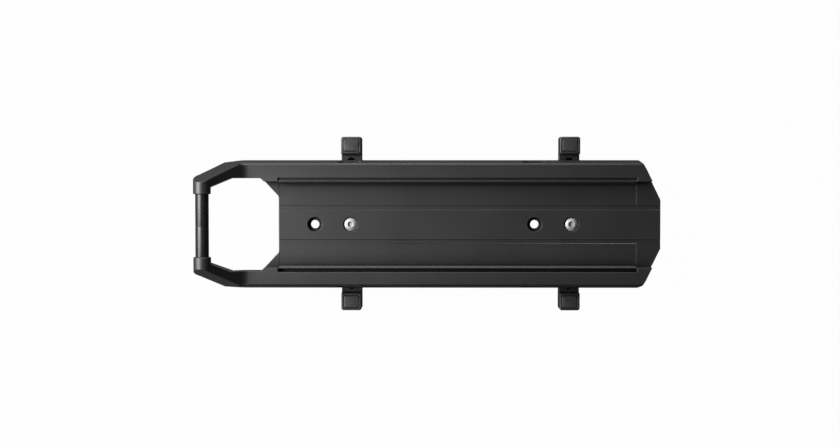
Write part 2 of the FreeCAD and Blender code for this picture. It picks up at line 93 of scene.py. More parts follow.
class Pick(Enum):
    """What an edit-mode selection is made of."""

    VERTS = "VERT"
    EDGES = "EDGE"
    FACES = "FACE"


JAWS = [f"{end.value}_{side.value}_jaw" for end in End for side in Side]
PADS = [f"{jaw}_pad" for jaw in JAWS]
SCREWS = [f"{end.value}_clamp_screw" for end in End]
NUTS = [f"{end.value}_clamp_nut" for end in End]
STRIPS = [f"{hole.value}_grip_strip" for hole in Hole]
RECORD = frame["record"]
BODY_OF = {node: body for body, nodes in RECORD["behaviour"]["bodies"].items() for node in nodes}


class Wire:
    """A shader socket that takes part in arithmetic; each operator adds a Math node."""

    def __init__(self, board: "NodeBoard", socket: bpy.types.NodeSocket) -> None:
        """Holds an output socket.

        Args:
            board: The node tree that the socket is in.
            socket: The output socket.
        """
        self.board = board
        self.socket = socket

    def _math(self, operation: str, left: "Value", right: "Value") -> "Wire":
        """Adds a Math node.

        Args:
            operation: The node's operation.
            left: The first operand.
            right: The second operand.

        Returns:
            The node's result.
        """
        return self.board.add("ShaderNodeMath", {"operation": operation}, {0: left, 1: right})

    def __add__(self, other: "Value") -> "Wire":
        """This plus another value."""
        return self._math("ADD", self, other)

    def __radd__(self, other: "Value") -> "Wire":
        """A number plus this."""
        return self._math("ADD", other, self)

    def __sub__(self, other: "Value") -> "Wire":
        """This less another value."""
        return self._math("SUBTRACT", self, other)

    def __rsub__(self, other: "Value") -> "Wire":
        """A number less this."""
        return self._math("SUBTRACT", other, self)

    def __mul__(self, other: "Value") -> "Wire":
        """This times another value."""
        return self._math("MULTIPLY", self, other)

    def __rmul__(self, other: "Value") -> "Wire":
        """A number times this."""
        return self._math("MULTIPLY", other, self)

    def at_most(self, other: "Value") -> "Wire":
        """The lesser of this and another value."""
        return self._math("MINIMUM", self, other)

    def sine(self) -> "Wire":
        """The sine of this, in radians."""
        return self._math("SINE", self, 0.0)


Value = Union[Wire, float, tuple]


class NodeBoard:
    """One node tree, emptied and ready for a finish to be wired up."""

    def __init__(self, tree: bpy.types.NodeTree, centre: Vector) -> None:
        """Empties the tree.

        Args:
            tree: The tree of a material or of the world.
            centre: The origin of its patterns, on the axis of a turned one.
        """
        self.tree = tree
        self.centre = centre
        self.tree.nodes.clear()

    def add(
        self,
        kind: str,
        settings: Optional[dict[str, Any]] = None,
        sockets: Optional[dict[Union[str, int], Value]] = None,
        output: Union[str, int] = 0,
    ) -> Wire:
        """Adds one node.

        Args:
            kind: The node's type.
            settings: Properties that are set before the sockets; "stops" fills a colour ramp.
            sockets: Values or links by the socket's name or index.
            output: The output that is handed on.

        Returns:
            The chosen output.
        """
        node = self.tree.nodes.new(kind)
        for name, value in (settings or {}).items():
            if name == "stops":
                self._fill_ramp(node.color_ramp, value)
            else:
                setattr(node, name, value)
        for key, value in (sockets or {}).items():
            if isinstance(value, Wire):
                self.tree.links.new(value.socket, node.inputs[key])
            else:
                node.inputs[key].default_value = value
        return Wire(self, node.outputs[output] if node.outputs else None)

    @staticmethod
    def _fill_ramp(ramp: bpy.types.ColorRamp, stops: list[tuple[float, float]]) -> None:
        """Sets a ramp's grey stops.

        Args:
            ramp: A new ramp, which has two stops.
            stops: Position and grey value of each stop, in order.
        """
        while len(ramp.elements) < len(stops):
            ramp.elements.new(1.0)
        for element, (position, grey) in zip(ramp.elements, stops):
            element.position = position
            element.color = (grey, grey, grey, 1.0)

    def place(self, stretch: tuple[float, float, float] = (1, 1, 1)) -> Wire:
        """Object coordinates about the board's centre.

        Args:
            stretch: How much each axis is multiplied by, so that a small number draws a pattern out.

        Returns:
            The coordinates.
        """
        raw = self.add("ShaderNodeTexCoord", output="Object")
        shift = tuple(-c * s for c, s in zip(self.centre, stretch))
        sockets = {"Vector": raw, "Location": shift, "Scale": stretch}
        return self.add("ShaderNodeMapping", sockets=sockets)

    def noise(self, where: Wire, size: float, detail: float = 2.0, seed: float = 0.0) -> Wire:
        """Cloudy noise between 0 and 1.

        Args:
            where: The coordinates.
            size: The size of its patches in metres.
            detail: How many finer layers it has.
            seed: Picks another noise of the same kind.

        Returns:
            The noise.
        """
        settings = {"noise_dimensions": "4D"}
        sockets = {"Vector": where, "Scale": 1.0 / size, "Detail": detail, "W": seed}
        return self.add("ShaderNodeTexNoise", settings, sockets)

    def mix(self, share: Wire, first: Value, second: Value) -> Wire:
        """A blend of two colours.

        Args:
            share: How much of the second colour shows.
            first: The first colour.
            second: The second colour.

        Returns:
            The colour.
        """
        sockets = {0: share, 6: first, 7: second}
        return self.add("ShaderNodeMix", {"data_type": "RGBA"}, sockets, output=2)

    def nearness(self, reach: float, inside: bool) -> Wire:
        """A mask where other faces of the piece are near.

        Args:
            reach: How near they have to be, in metres.
            inside: True looks into the solid and finds edges, False looks out and finds hollows.

        Returns:
            0 on open faces, about a half on an edge and up to 1 in a deep hollow.
        """
        settings = {"inside": inside, "only_local": True, "samples": 8 if inside else 12}
        return 1.0 - self.add("ShaderNodeAmbientOcclusion", settings, {"Distance": reach}, output="AO")

    def bump(self, height: Wire, depth: float) -> Wire:
        """A normal that follows a height.

        Args:
            height: The height from 0 to 1.
            depth: How deep a height of 1 is, in metres.

        Returns:
            The normal.
        """
        sockets = {"Distance": depth, "Height": height}
        return self.add("ShaderNodeBump", sockets=sockets)

    def surface(self, painted_shade: Optional[Wire] = None, **sockets: Value) -> None:
        """Ends the tree in a Principled shader, with painted shade mixed in where asked.

        Args:
            painted_shade: How much of a lightless black is mixed in as painted shade.
            sockets: Values or links of the shader, with _ for a space in the socket's name.
        """
        named = {name.replace("_", " "): value for name, value in sockets.items()}
        shader = self.add("ShaderNodeBsdfPrincipled", sockets=named)
        if painted_shade:
            # Painted shade: an unlit near-black shader mixed over the lit surface where shade is
            # wanted.
            black = self.add("ShaderNodeBsdfDiffuse", sockets={"Color": (0.002, 0.002, 0.002, 1.0)})
            shader = self.add("ShaderNodeMixShader", sockets={0: painted_shade, 1: shader, 2: black})
        self.add("ShaderNodeOutputMaterial", sockets={"Surface": shader})


def new_material(name: str, centre: Vector) -> tuple[bpy.types.Material, NodeBoard]:
    """Makes an empty node material.

    Args:
        name: The material's name.
        centre: The origin of its patterns.

    Returns:
        The material and its board.
    """
    material = bpy.data.materials.new(name)
    material.use_nodes = True
    return material, NodeBoard(material.node_tree, centre)


@dataclass(frozen=True)
class Finish(ABC):
    """A surface finish that can be made into a material."""

    name: str
    colour: Colour

    def material(self, centre: Vector) -> bpy.types.Material:
        """Makes the material.

        Args:
            centre: The origin of its patterns, on the axis of a turned one.

        Returns:
            The material.
        """
        material, board = new_material(self.name, centre)
        self.wire(board)
        return material

    @abstractmethod
    def wire(self, board: NodeBoard) -> None:
        """Wires up the finish.

        Args:
            board: The material's empty board.
        """


@dataclass(frozen=True)
class MouldedPlastic(Finish):
    """Black moulding with an eroded grain, faint flow streaks, polished edges and painted shade
    darkening its hollows.
    """

    edge_colour: Colour
    roughness: float
    grain: float
    grain_depth: float
    cloud: float = 28 * MM
    streak: float = 3.2 * MM
    edge_reach: float = 0.9 * MM
    # How far and how strongly painted shade darkens the moulding near walls and in recesses.
    painted_shade_reach: float = 12 * MM
    painted_shade_share: float = 1.2

    def wire(self, board: NodeBoard) -> None:
        """Wires up the finish.

        Args:
            board: The material's empty board.
        """
        where = board.place()
        grain = board.noise(where, self.grain, detail=3.0)
        pits = board.noise(where, self.grain * 4, detail=2.0, seed=3.0)
        cloud = board.noise(where, self.cloud, detail=3.0, seed=7.0)
        flow = board.noise(board.place((0.06, 1.0, 1.0)), self.streak, detail=2.0, seed=11.0)
        rub = board.nearness(self.edge_reach, inside=True) * (0.6 + 0.9 * pits)
        # Painted shade: an ambient-occlusion mask of nearby walls and recesses, mixed to black where
        # their shadow would fall.
        hollow = board.nearness(self.painted_shade_reach, inside=False)
        tone = 0.62 + 0.34 * cloud + 0.22 * flow + 0.20 * pits
        dark = board.mix(tone.at_most(1.0), BLACK, self.colour)
        colour = board.mix(rub.at_most(1.0), dark, self.edge_colour)
        roughness = self.roughness + 0.10 * (cloud - 0.5) + 0.14 * (grain - 0.5) - 0.10 * rub
        board.surface(
            painted_shade=(self.painted_shade_share * hollow).at_most(0.8),
            Base_Color=colour,
            Roughness=roughness,
            Specular_IOR_Level=0.5,
            Normal=board.bump(0.65 * grain + 0.35 * pits, self.grain_depth),
        )


@dataclass(frozen=True)
class SmoothPlastic(Finish):
    """Smooth black plastic with a soft gloss and a faint unevenness along its length."""

    roughness: float
    ripple: float
    ripple_depth: float
    scuff: float = 0.5 * MM
    cloud: float = 9 * MM

    def wire(self, board: NodeBoard) -> None:
        """Wires up the finish.

        Args:
            board: The material's empty board.
        """
        where = board.place()
        ripple = board.noise(board.place((1.0, 0.25, 1.0)), self.ripple, detail=2.0)
        scuff = board.noise(board.place((1.0, 0.08, 1.0)), self.scuff, detail=2.0, seed=5.0)
        cloud = board.noise(where, self.cloud, detail=3.0, seed=9.0)
        colour = board.mix((0.55 + 0.5 * cloud).at_most(1.0), BLACK, self.colour)
        board.surface(
            Base_Color=colour,
            Roughness=self.roughness + 0.12 * (cloud - 0.5) + 0.10 * (scuff - 0.5),
            Specular_IOR_Level=0.35,
            Normal=board.bump(0.8 * ripple + 0.2 * scuff, self.ripple_depth),
        )


@dataclass(frozen=True)
class DullRubber(Finish):
    """Dull black rubber with a fine grain and a pale bloom in patches."""

    bloom: Colour
    grain: float
    grain_depth: float
    patch: float = 3.5 * MM
    edge_reach: float = 0.6 * MM

    def wire(self, board: NodeBoard) -> None:
        """Wires up the finish.

        Args:
            board: The material's empty board.
        """
        where = board.place()
        grain = board.noise(where, self.grain, detail=2.0)
        cloud = board.noise(where, self.patch, detail=4.0, seed=2.0)
        stops = [(0.38, 0.0), (0.72, 1.0)]
        patch = board.add("ShaderNodeValToRGB", {"stops": stops}, {"Fac": cloud})
        rub = board.nearness(self.edge_reach, inside=True)
        colour = board.mix((0.55 * patch + 0.5 * rub).at_most(1.0), self.colour, self.bloom)
        board.surface(
            Base_Color=colour,
            Roughness=0.50 + 0.14 * grain,
            Normal=board.bump(grain, self.grain_depth),
        )


@dataclass(frozen=True)
class TurnedSteel(Finish):
    """Bright steel with fine turning rings about an axis along Z, small scratches and dull spots."""

    dull_colour: Colour
    roughness: float
    ring: float
    shine: float = 0.6
    spot: float = 0.9 * MM
    scratch: float = 0.22 * MM
    relief: float = 0.004 * MM

    def wire(self, board: NodeBoard) -> None:
        """Wires up the finish.

        Args:
            board: The material's empty board.
        """
        flat = board.place((1.0, 1.0, 0.0))
        radius = board.add("ShaderNodeVectorMath", {"operation": "LENGTH"}, {0: flat}, output="Value")
        where = board.place()
        cloud, stops = board.noise(where, self.spot, detail=4.0), [(0.45, 0.0), (0.7, 1.0)]
        spots = board.add("ShaderNodeValToRGB", {"stops": stops}, {"Fac": cloud})
        drawn = board.place((1.0, 0.12, 1.0))
        scratch = board.noise(drawn, self.scratch, detail=3.0, seed=4.0)
        rings = (radius * (math.tau / self.ring) + 3.0 * scratch).sine()
        colour = board.mix(0.6 * spots, self.colour, self.dull_colour)
        board.surface(
            Base_Color=colour,
            Metallic=self.shine - 0.45 * spots,
            Roughness=self.roughness + 0.16 * spots + 0.10 * (scratch - 0.5),
            Normal=board.bump(0.5 + 0.3 * rings + 0.5 * scratch, self.relief),
        )


@dataclass(frozen=True)
class PlatedSteel(Finish):
    """Zinc-plated steel with a cloudy sheen."""

    dull_colour: Colour
    roughness: float
    cloud: float = 1.6 * MM
    grain: float = 0.18 * MM
    grain_depth: float = 0.006 * MM

    def wire(self, board: NodeBoard) -> None:
        """Wires up the finish.

        Args:
            board: The material's empty board.
        """
        where = board.place()
        cloud = board.noise(where, self.cloud, detail=4.0)
        grain = board.noise(where, self.grain, detail=2.0, seed=6.0)
        board.surface(
            Base_Color=board.mix(cloud, self.colour, self.dull_colour),
            Metallic=1.0,
            Roughness=self.roughness + 0.22 * (cloud - 0.5),
            Normal=board.bump(grain, self.grain_depth),
        )


def grey(value: float) -> Colour:
    """A neutral colour of the given strength."""
    return (value, value, value, 1.0)


DECK_PLASTIC = MouldedPlastic("deck_moulding", grey(0.007), grey(0.05), 0.50, 0.32 * MM, 0.014 * MM)
# The jaws get a shorter, weaker painted shade in their hollows.
JAW_PLASTIC = replace(
    DECK_PLASTIC, name="jaw_moulding", grain=0.30 * MM, painted_shade_reach=4 * MM, painted_shade_share=0.5
)
BAR_PLASTIC = SmoothPlastic("bar_moulding", grey(0.005), 0.40, 4.0 * MM, 0.05 * MM)
PAD_RUBBER = DullRubber("pad_rubber", grey(0.008), grey(0.024), 0.25 * MM, 0.012 * MM)
STRIP_RUBBER = DullRubber("strip_rubber", grey(0.014), grey(0.028), 0.30 * MM, 0.02 * MM)
SCREW_STEEL = TurnedSteel("screw_steel", grey(0.36), grey(0.25), 0.52, 0.16 * MM)
NUT_STEEL = PlatedSteel("nut_steel", (0.58, 0.57, 0.55, 1.0), (0.40, 0.39, 0.37, 1.0), 0.38)


def deselect() -> None:
    """Leaves edit mode and deselects every object."""
    active = bpy.context.view_layer.objects.active
    if active and active.mode != "OBJECT":
        bpy.ops.object.mode_set(mode="OBJECT")
    bpy.ops.object.select_all(action="DESELECT")


def work_on(piece: Piece, mode: str = "OBJECT") -> None:
    """Makes a piece the only selected one and enters a mode on it.

    Args:
        piece: The piece.
        mode: OBJECT or EDIT.
    """
    deselect()
    piece.select_set(True)
    bpy.context.view_layer.objects.active = piece
    bpy.ops.object.mode_set(mode=mode)


def pick(piece: Piece, kind: Pick, test: Callable[[Element], bool]) -> int:
    """Selects elements of a piece that is in edit mode.

    Args:
        piece: The piece.
        kind: What is selected.
        test: True for each element that is wanted.

    Returns:
        How many were selected.
    """
    bpy.ops.mesh.select_mode(type=kind.value)
    bpy.ops.mesh.select_all(action="DESELECT")
    mesh = bmesh.from_edit_mesh(piece.data)
    found = 0
    for element in {Pick.VERTS: mesh.verts, Pick.EDGES: mesh.edges, Pick.FACES: mesh.faces}[kind]:
        if test(element):
            element.select_set(True)
            found += 1
    mesh.select_flush_mode()
    bmesh.update_edit_mesh(piece.data)
    return found


def is_upright(edge: bmesh.types.BMEdge) -> bool:
    """True for an edge that doesn't lie level."""
    return abs(edge.verts[0].co.z - edge.verts[1].co.z) > MERGE


def apply_place(piece: Piece) -> None:
    """Moves a piece's place, turn and scale into its mesh."""
    work_on(piece)
    bpy.ops.object.transform_apply(location=True, rotation=True, scale=True)


def apply_modifier(piece: Piece, kind: str, **settings: Any) -> None:
    """Adds a modifier and applies it.

    Args:
        piece: The piece.
        kind: The modifier's type.
        settings: The modifier's properties.
    """
    work_on(piece)
    modifier = piece.modifiers.new(kind.lower(), kind)
    for name, value in settings.items():
        setattr(modifier, name, value)
    bpy.ops.object.modifier_apply(modifier=modifier.name)


def cut_with(piece: Piece, tool: Piece, operation: str = "DIFFERENCE") -> None:
    """Combines a piece with a tool and deletes the tool.

    Args:
        piece: The piece that stays.
        tool: The piece that is used up.
        operation: DIFFERENCE, UNION or INTERSECT.
    """
    apply_modifier(piece, "BOOLEAN", object=tool, operation=operation, solver="EXACT")
    bpy.data.objects.remove(tool)


def smooth(piece: Piece, angle_deg: float) -> None:
    """Shades a piece smooth except across edges sharper than an angle."""
    work_on(piece)
    bpy.ops.object.shade_smooth_by_angle(angle=math.radians(angle_deg))


def new_block(name: str, low: Vector, high: Vector) -> Piece:
    """Starts a piece from a cube.

    Args:
        name: The piece's name.
        low: Its lowest corner.
        high: Its highest corner.

    Returns:
        The piece.
    """
    deselect()
    bpy.ops.mesh.primitive_cube_add(size=1.0, location=(low + high) / 2)
    piece = bpy.context.object
    piece.name = name
    piece.scale = high - low
    apply_place(piece)
    return piece


def new_rod(
    name: str, centre: Vector, radius: float, length: float, sides: int, along_y: bool = False
) -> Piece:
    """Starts a piece from a cylinder.

    Args:
        name: The piece's name.
        centre: Its middle.
        radius: Its radius.
        length: Its length.
        sides: How many sides it has.
        along_y: True for a rod along Y instead of Z.

    Returns:
        The piece.
    """
    deselect()
    turn = (math.pi / 2, 0.0, 0.0) if along_y else (0.0, 0.0, 0.0)
    bpy.ops.mesh.primitive_cylinder_add(
        vertices=sides, radius=radius, depth=length, location=centre, rotation=turn
    )
    piece = bpy.context.object
    piece.name = name
    apply_place(piece)
    return piece


def copy_of(source: Piece, name: str, shift: Vector) -> Piece:
    """Copies a piece with a mesh of its own.

    Args:
        source: The finished piece.
        name: The copy's name.
        shift: How far the copy's mesh is moved.

    Returns:
        The copy.
    """
    piece = source.copy()
    piece.data = source.data.copy()
    piece.name = name
    piece.data.transform(Matrix.Translation(shift))
    bpy.context.scene.collection.objects.link(piece)
    return piece


def centre_of(node: str) -> Vector:
    """The middle of a solid's box."""
    low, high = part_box(node)
    return (low + high) / 2


def model_and_copy(nodes: list[str], suffix: str, model: Callable[[str], Piece]) -> dict[str, Piece]:
    """Models the first piece of a set and copies it to the places of the others.

    Args:
        nodes: The solids that the pieces stand for.
        suffix: The end of each copy's name.
        model: Models the piece of one solid.

    Returns:
        The pieces by solid.
    """
    first, *others = nodes
    pieces = {first: model(first)}
    for node in others:
        shift = centre_of(node) - centre_of(first)
        pieces[node] = copy_of(pieces[first], f"{node}_{suffix}", shift)
    return pieces


def settle(piece: Piece, node: str, material: bpy.types.Material) -> None:
    """Puts a piece in the place of a solid and gives it its material.

    Args:
        piece: The finished piece.
        node: The solid that it stands for.
        material: Its material.
    """
    piece.data.materials.clear()
    piece.data.materials.append(material)
    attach(piece, BODY_OF[node])
    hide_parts(node)
    faces = len(piece.data.polygons)
    LOG.info("%s stands for %s on %s, %d faces", piece.name, node, BODY_OF[node], faces)


@dataclass(frozen=True)
class EdgeRounding:
    """How the sharp edges of a moulding are rounded."""

    width: float
    room_share: float = 0.4
    sharp_deg: float = 25.0
    merge: float = 0.002 * MM
    flat_deg: float = 0.5
    segments: int = 2

    def copy_moulding(self, node: str, name: str) -> Piece:
        """Copies a solid's mesh, joins its loose triangles and clears its flat faces.

        Args:
            node: The solid.
            name: The new piece's name.

        Returns:
            The sharp-edged piece.
        """
        piece = copy_of(frame["nodes"][node], name, Vector())
        piece.parent = None
        for key in list(piece.keys()):
            del piece[key]
        work_on(piece, "EDIT")
        bpy.ops.mesh.select_all(action="SELECT")
        bpy.ops.mesh.customdata_custom_splitnormals_clear()
        bpy.ops.mesh.remove_doubles(threshold=self.merge)
        bpy.ops.mesh.dissolve_limited(angle_limit=math.radians(self.flat_deg))
        bpy.ops.object.mode_set(mode="OBJECT")
        return piece

    def round_off(self, piece: Piece) -> None:
        """Rounds a piece's sharp edges as far as its faces have room.

        Args:
            piece: The sharp-edged piece.
        """
        work_on(piece, "EDIT")
        self._weigh_edges(piece)
        bpy.ops.object.mode_set(mode="OBJECT")
        bpy.ops.object.shade_smooth()
        apply_modifier(
            piece,
            "BEVEL",
            width=self.width,
            segments=self.segments,
            limit_method="WEIGHT",
            use_clamp_overlap=False,
            harden_normals=True,
        )

    def _weigh_edges(self, piece: Piece) -> None:
        """Gives each sharp edge the share of the full rounding that its faces have room for.

        Args:
            piece: The piece, in edit mode.
        """
        mesh = bmesh.from_edit_mesh(piece.data)
        weights = mesh.edges.layers.float.new("bevel_weight_edge")
        for edge in mesh.edges:
            if edge.is_manifold and edge.calc_face_angle() > math.radians(self.sharp_deg):
                room = min(self._room(edge, face) for face in edge.link_faces)
                edge[weights] = min(1.0, self.room_share * room / self.width)
        bmesh.update_edit_mesh(piece.data)

    @staticmethod
    def _room(edge: bmesh.types.BMEdge, face: bmesh.types.BMFace) -> float:
        """How far a face reaches away from one of its edges.

        Args:
            edge: The edge.
            face: A face beside it.

        Returns:
            The reach in metres.
        """
        along = (edge.verts[1].co - edge.verts[0].co).normalized()
        inward = face.normal.cross(along)
        return max(abs((vert.co - edge.verts[0].co).dot(inward)) for vert in face.verts)


class SubAssembly(ABC):
    """A group of pieces that is built and then dressed."""

    @abstractmethod
    def build(self) -> None:
        """Models the pieces."""

    @abstractmethod
    def dress(self) -> None:
        """Gives the pieces their finishes and places them on their bodies."""


@dataclass
class TrackDeck(SubAssembly):
    """The moulded deck with its track, arms and sockets."""

    node: str = "deck"
    rounding: EdgeRounding = EdgeRounding(0.45 * MM)
    relief_floor: float = 36.5 * MM
    relief_walls: tuple[float, float] = (35.1 * MM, 36.9 * MM)
    relief_raise: float = 3.4 * MM
    wall_shifts: tuple[float, float] = (0.3 * MM, -0.5 * MM)
    flank_top: float = 33.5 * MM
    flank_places: tuple[float, float] = (11.85 * MM, -15.15 * MM)
    flank_run: float = 0.6 * MM
    near: float = 0.05 * MM
    piece: Optional[Piece] = None

    def build(self) -> None:
        """Copies the moulding, refines its reliefs and grooves and rounds its edges."""
        self.piece = self.rounding.copy_moulding(self.node, "deck_moulding")
        work_on(self.piece, "EDIT")
        for wall in self.relief_walls:
            self._shift_corners(wall, self.relief_floor, self.relief_floor, up=self.relief_raise)
        for wall, shift in zip(self.relief_walls, self.wall_shifts):
            self._shift_corners(-wall, self.relief_floor, math.inf, across=shift)
        for flank in self.flank_places:
            self._shift_corners(flank, self.flank_top, self.flank_top, across=-self.flank_run)
        bpy.ops.object.mode_set(mode="OBJECT")
        self.rounding.round_off(self.piece)

    def _shift_corners(
        self, place: float, low: float, high: float, across: float = 0.0, up: float = 0.0
    ) -> None:
        """Moves the corners on a line along the deck: a relief's floor or wall, or a groove's flank.

        Args:
            place: Where the line lies across the deck.
            low: The lowest height of the corners.
            high: The highest height of the corners.
            across: How far they move along Y.
            up: How far they move along Z.
        """

        def on_line(vert: bmesh.types.BMVert) -> bool:
            """True for a corner on the line."""
            return abs(vert.co.y - place) < self.near and low - self.near < vert.co.z < high + self.near

        found = pick(self.piece, Pick.VERTS, on_line)
        bpy.ops.transform.translate(value=(0.0, across, up))
        LOG.info("%d corners of the deck moved", found)

    def dress(self) -> None:
        """Gives the deck its grained black plastic."""
        settle(self.piece, self.node, DECK_PLASTIC.material(Vector()))


@dataclass
class FrontBar(SubAssembly):
    """The round bar between the sockets, with a sunk seam at its middle and an oval filling mark."""

    node: str = "front_bar"
    sides: int = 96
    end_round: float = 0.6 * MM
    seam_y: float = -1.0 * MM
    seam_width: float = 1.4 * MM
    seam_depth: float = 0.16 * MM
    mark_offset: tuple[float, float] = (1.3 * MM, 0.6 * MM)
    mark_length: float = 3.6 * MM
    mark_width: float = 2.2 * MM
    mark_depth: float = 0.16 * MM
    smooth_deg: float = 30.0
    piece: Optional[Piece] = None

    def build(self) -> None:
        """Turns the bar, rounds its ends, draws in the seam and sinks the mark."""
        low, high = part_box(self.node)
        centre, radius = (low + high) / 2, (high.z - low.z) / 2
        self.piece = new_rod("front_bar_rod", centre, radius, high.y - low.y, self.sides, along_y=True)
        work_on(self.piece, "EDIT")
        pick(self.piece, Pick.FACES, lambda face: abs(face.normal.y) > FACING)
        bpy.ops.mesh.bevel(offset=self.end_round, segments=3, affect="EDGES")
        self._draw_in_seam(centre, radius)
        self._sink_mark(centre, radius)
        smooth(self.piece, self.smooth_deg)

    def _draw_in_seam(self, centre: Vector, radius: float) -> None:
        """Cuts three rings round the bar and draws the middle one in.

        Args:
            centre: The bar's middle.
            radius: The bar's radius.
        """
        middle = Vector((centre.x, centre.y + self.seam_y, centre.z))
        for step in (-self.seam_width / 2, 0.0, self.seam_width / 2):
            bpy.ops.mesh.select_all(action="SELECT")
            bpy.ops.mesh.bisect(plane_co=middle + Vector((0, step, 0)), plane_no=(0, 1, 0))
        pick(self.piece, Pick.VERTS, lambda vert: abs(vert.co.y - middle.y) < self.seam_width / 10)
        share = 1 - self.seam_depth / radius
        bpy.ops.transform.resize(value=(share, 1.0, share), center_override=middle)
        bpy.ops.object.mode_set(mode="OBJECT")

    def _sink_mark(self, centre: Vector, radius: float) -> None:
        """Sinks a shallow oval into the upper side of the bar.

        Args:
            centre: The bar's middle.
            radius: The bar's radius.
        """
        deselect()
        bpy.ops.mesh.primitive_uv_sphere_add(segments=32, ring_count=16, radius=1.0)
        mark = bpy.context.object
        across, along = self.mark_offset
        mark.location = centre + Vector((across, along, math.sqrt(radius**2 - across**2)))
        mark.rotation_euler.y = math.asin(across / radius)
        mark.scale = (self.mark_length / 2, self.mark_width / 2, self.mark_depth)
        apply_place(mark)
        cut_with(self.piece, mark)

    def dress(self) -> None:
        """Gives the bar its smooth black plastic."""
        settle(self.piece, self.node, BAR_PLASTIC.material(Vector()))


@dataclass
class HookJaws(SubAssembly):
    """The four hook jaws and the rubber pads let into their tops."""

    rounding: EdgeRounding = EdgeRounding(0.4 * MM, sharp_deg=50.0)
    pad_corner: float = 1.2 * MM
    pad_edge: float = 0.45 * MM
    pad_crown: float = 0.12 * MM
    pad_rim: float = 0.6 * MM
    smooth_deg: float = 50.0
    jaws: dict[str, Piece] = field(default_factory=dict)
    pads: dict[str, Piece] = field(default_factory=dict)

    def build(self) -> None:
        """Rounds each jaw, models one pad and copies it to the other hooks."""
        for jaw, pad in zip(JAWS, PADS):
            self.jaws[jaw] = self.rounding.copy_moulding(jaw, f"{jaw}_moulding")
            self.rounding.round_off(self.jaws[jaw])
            self.pads[pad] = self._copy_pad(pad) if self.pads else self._model_pad(pad)

    def _copy_pad(self, node: str) -> Piece:
        """Copies the first pad to another hook."""
        return copy_of(self.pads[PADS[0]], f"{node}_rubber", centre_of(node) - centre_of(PADS[0]))

    def _model_pad(self, node: str) -> Piece:
        """Models a pad with round corners, a rolled edge and a slight crown.

        Args:
            node: The pad's solid.

        Returns:
            The pad.
        """
        low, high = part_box(node)
        pad = new_block(f"{node}_rubber", low, high)
        work_on(pad, "EDIT")
        pick(pad, Pick.EDGES, is_upright)
        bpy.ops.mesh.bevel(offset=self.pad_corner, segments=6, affect="EDGES")
        pick(pad, Pick.FACES, lambda face: face.normal.z > FACING)
        bpy.ops.transform.translate(value=(0.0, 0.0, -self.pad_crown))
        bpy.ops.mesh.bevel(offset=self.pad_edge, segments=3, affect="EDGES")
        top = high.z - self.pad_crown - self.pad_edge / 10
        pick(pad, Pick.FACES, lambda face: face.normal.z > LEVEL and face.calc_center_median().z > top)
        bpy.ops.mesh.inset(thickness=self.pad_rim)
        bpy.ops.transform.translate(value=(0.0, 0.0, self.pad_crown))
        bpy.ops.object.mode_set(mode="OBJECT")
        smooth(pad, self.smooth_deg)
        return pad

    def dress(self) -> None:
        """Gives the jaws their plastic and the pads their rubber."""
        plastic, rubber = JAW_PLASTIC.material(Vector()), PAD_RUBBER.material(Vector())
        for node, piece in self.jaws.items():
            settle(piece, node, plastic)
        for node, piece in self.pads.items():
            settle(piece, node, rubber)


